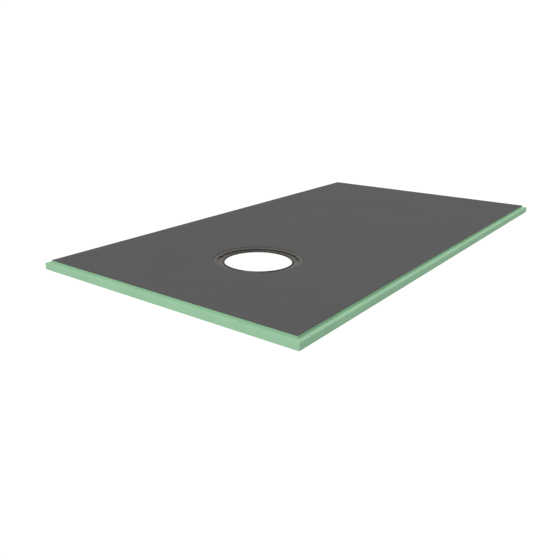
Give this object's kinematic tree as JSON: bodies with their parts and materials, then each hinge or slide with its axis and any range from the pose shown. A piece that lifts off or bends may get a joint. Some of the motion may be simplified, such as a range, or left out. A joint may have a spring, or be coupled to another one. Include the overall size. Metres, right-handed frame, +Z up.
{
  "type": "pre-sloped shower pan",
  "caption": "Rectangular foam shower pan with a rebated edge, a waterproof coated top that falls to an offset round drain, and a stepped drain ring.",
  "frame": {"origin": "centre of the flat underside, which is the centre of the plan rectangle", "axes": "+X along the length, away from the drain; +Y across the width; +Z up"},
  "size_m": [1.524, 0.8128, 0.0254],
  "materials": {
    "foam": "matt extruded foam with fine cells",
    "coat": "matt fine-textured waterproof coat",
    "ring": "satin moulded plastic"
  },
  "bodies": {
    "root": {"foam_core": "foam", "top_coat": "coat", "drain_ring": "ring"}
  },
  "joints": []
}
